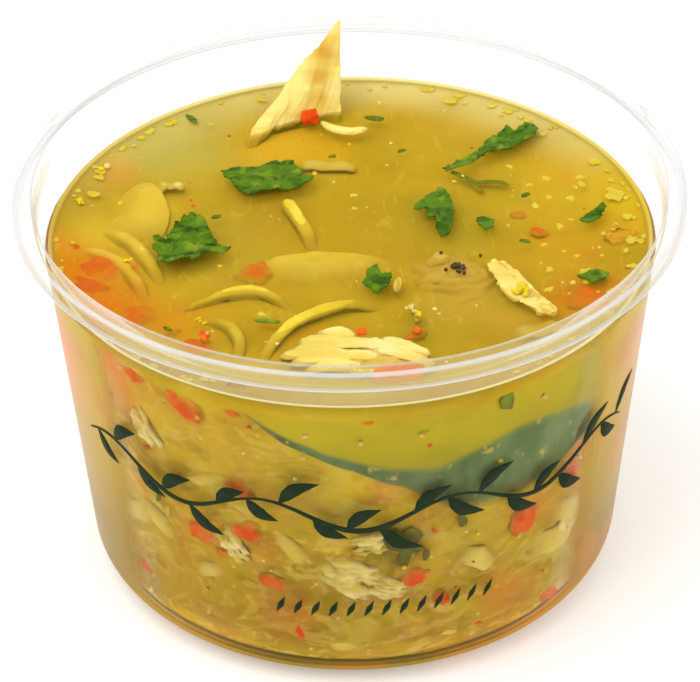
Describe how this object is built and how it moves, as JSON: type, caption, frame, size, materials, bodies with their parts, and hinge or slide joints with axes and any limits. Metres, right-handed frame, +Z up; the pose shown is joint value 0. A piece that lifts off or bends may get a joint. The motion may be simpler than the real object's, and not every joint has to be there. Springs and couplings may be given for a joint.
{
  "type": "tub of chicken noodle soup",
  "caption": "Round, tapered clear plastic tub, nearly full of golden chicken noodle soup with egg noodles, torn chicken, diced carrot and parsley on top; no lid",
  "frame": {"origin": "centre of the tub's base, on the surface it stands on", "axes": "+Z up through the tub's mouth; -Y is the side nearest the viewer in the picture, +X to the viewer's right"},
  "size_m": [0.117, 0.117, 0.079],
  "materials": {
    "clear_plastic": "clear, slightly milky, smooth",
    "soup": "cloudy golden broth, wet",
    "noodle": "cooked egg noodle, soft and wet",
    "chicken": "cooked chicken, fibrous and moist",
    "carrot": "cooked carrot, wet",
    "parsley": "fresh torn leaf, satin",
    "onion": "cooked onion, wet"
  },
  "bodies": {
    "root": {"tub": "clear_plastic", "broth": "soup", "noodle_arch_left": "noodle", "noodle_arch_front": "noodle", "noodle_ring": "noodle", "noodle_stub": "noodle", "noodle_slab": "noodle", "noodle_fold": "noodle", "noodle_curl_back": "noodle", "noodle_curl_front": "noodle", "chicken_flap": "chicken", "chicken_hook": "chicken", "chicken_front": "chicken", "chicken_chunk": "chicken", "chicken_shred": "chicken", "carrot_by_flap": "carrot", "carrot_front": "carrot", "carrot_right": "carrot", "onion_scrap": "onion", "parsley_left": "parsley", "parsley_centre": "parsley", "parsley_middle": "parsley", "parsley_small": "parsley", "parsley_right": "parsley", "parsley_edge": "parsley", "parsley_stem": "parsley", "parsley_long": "parsley"}
  },
  "joints": []
}
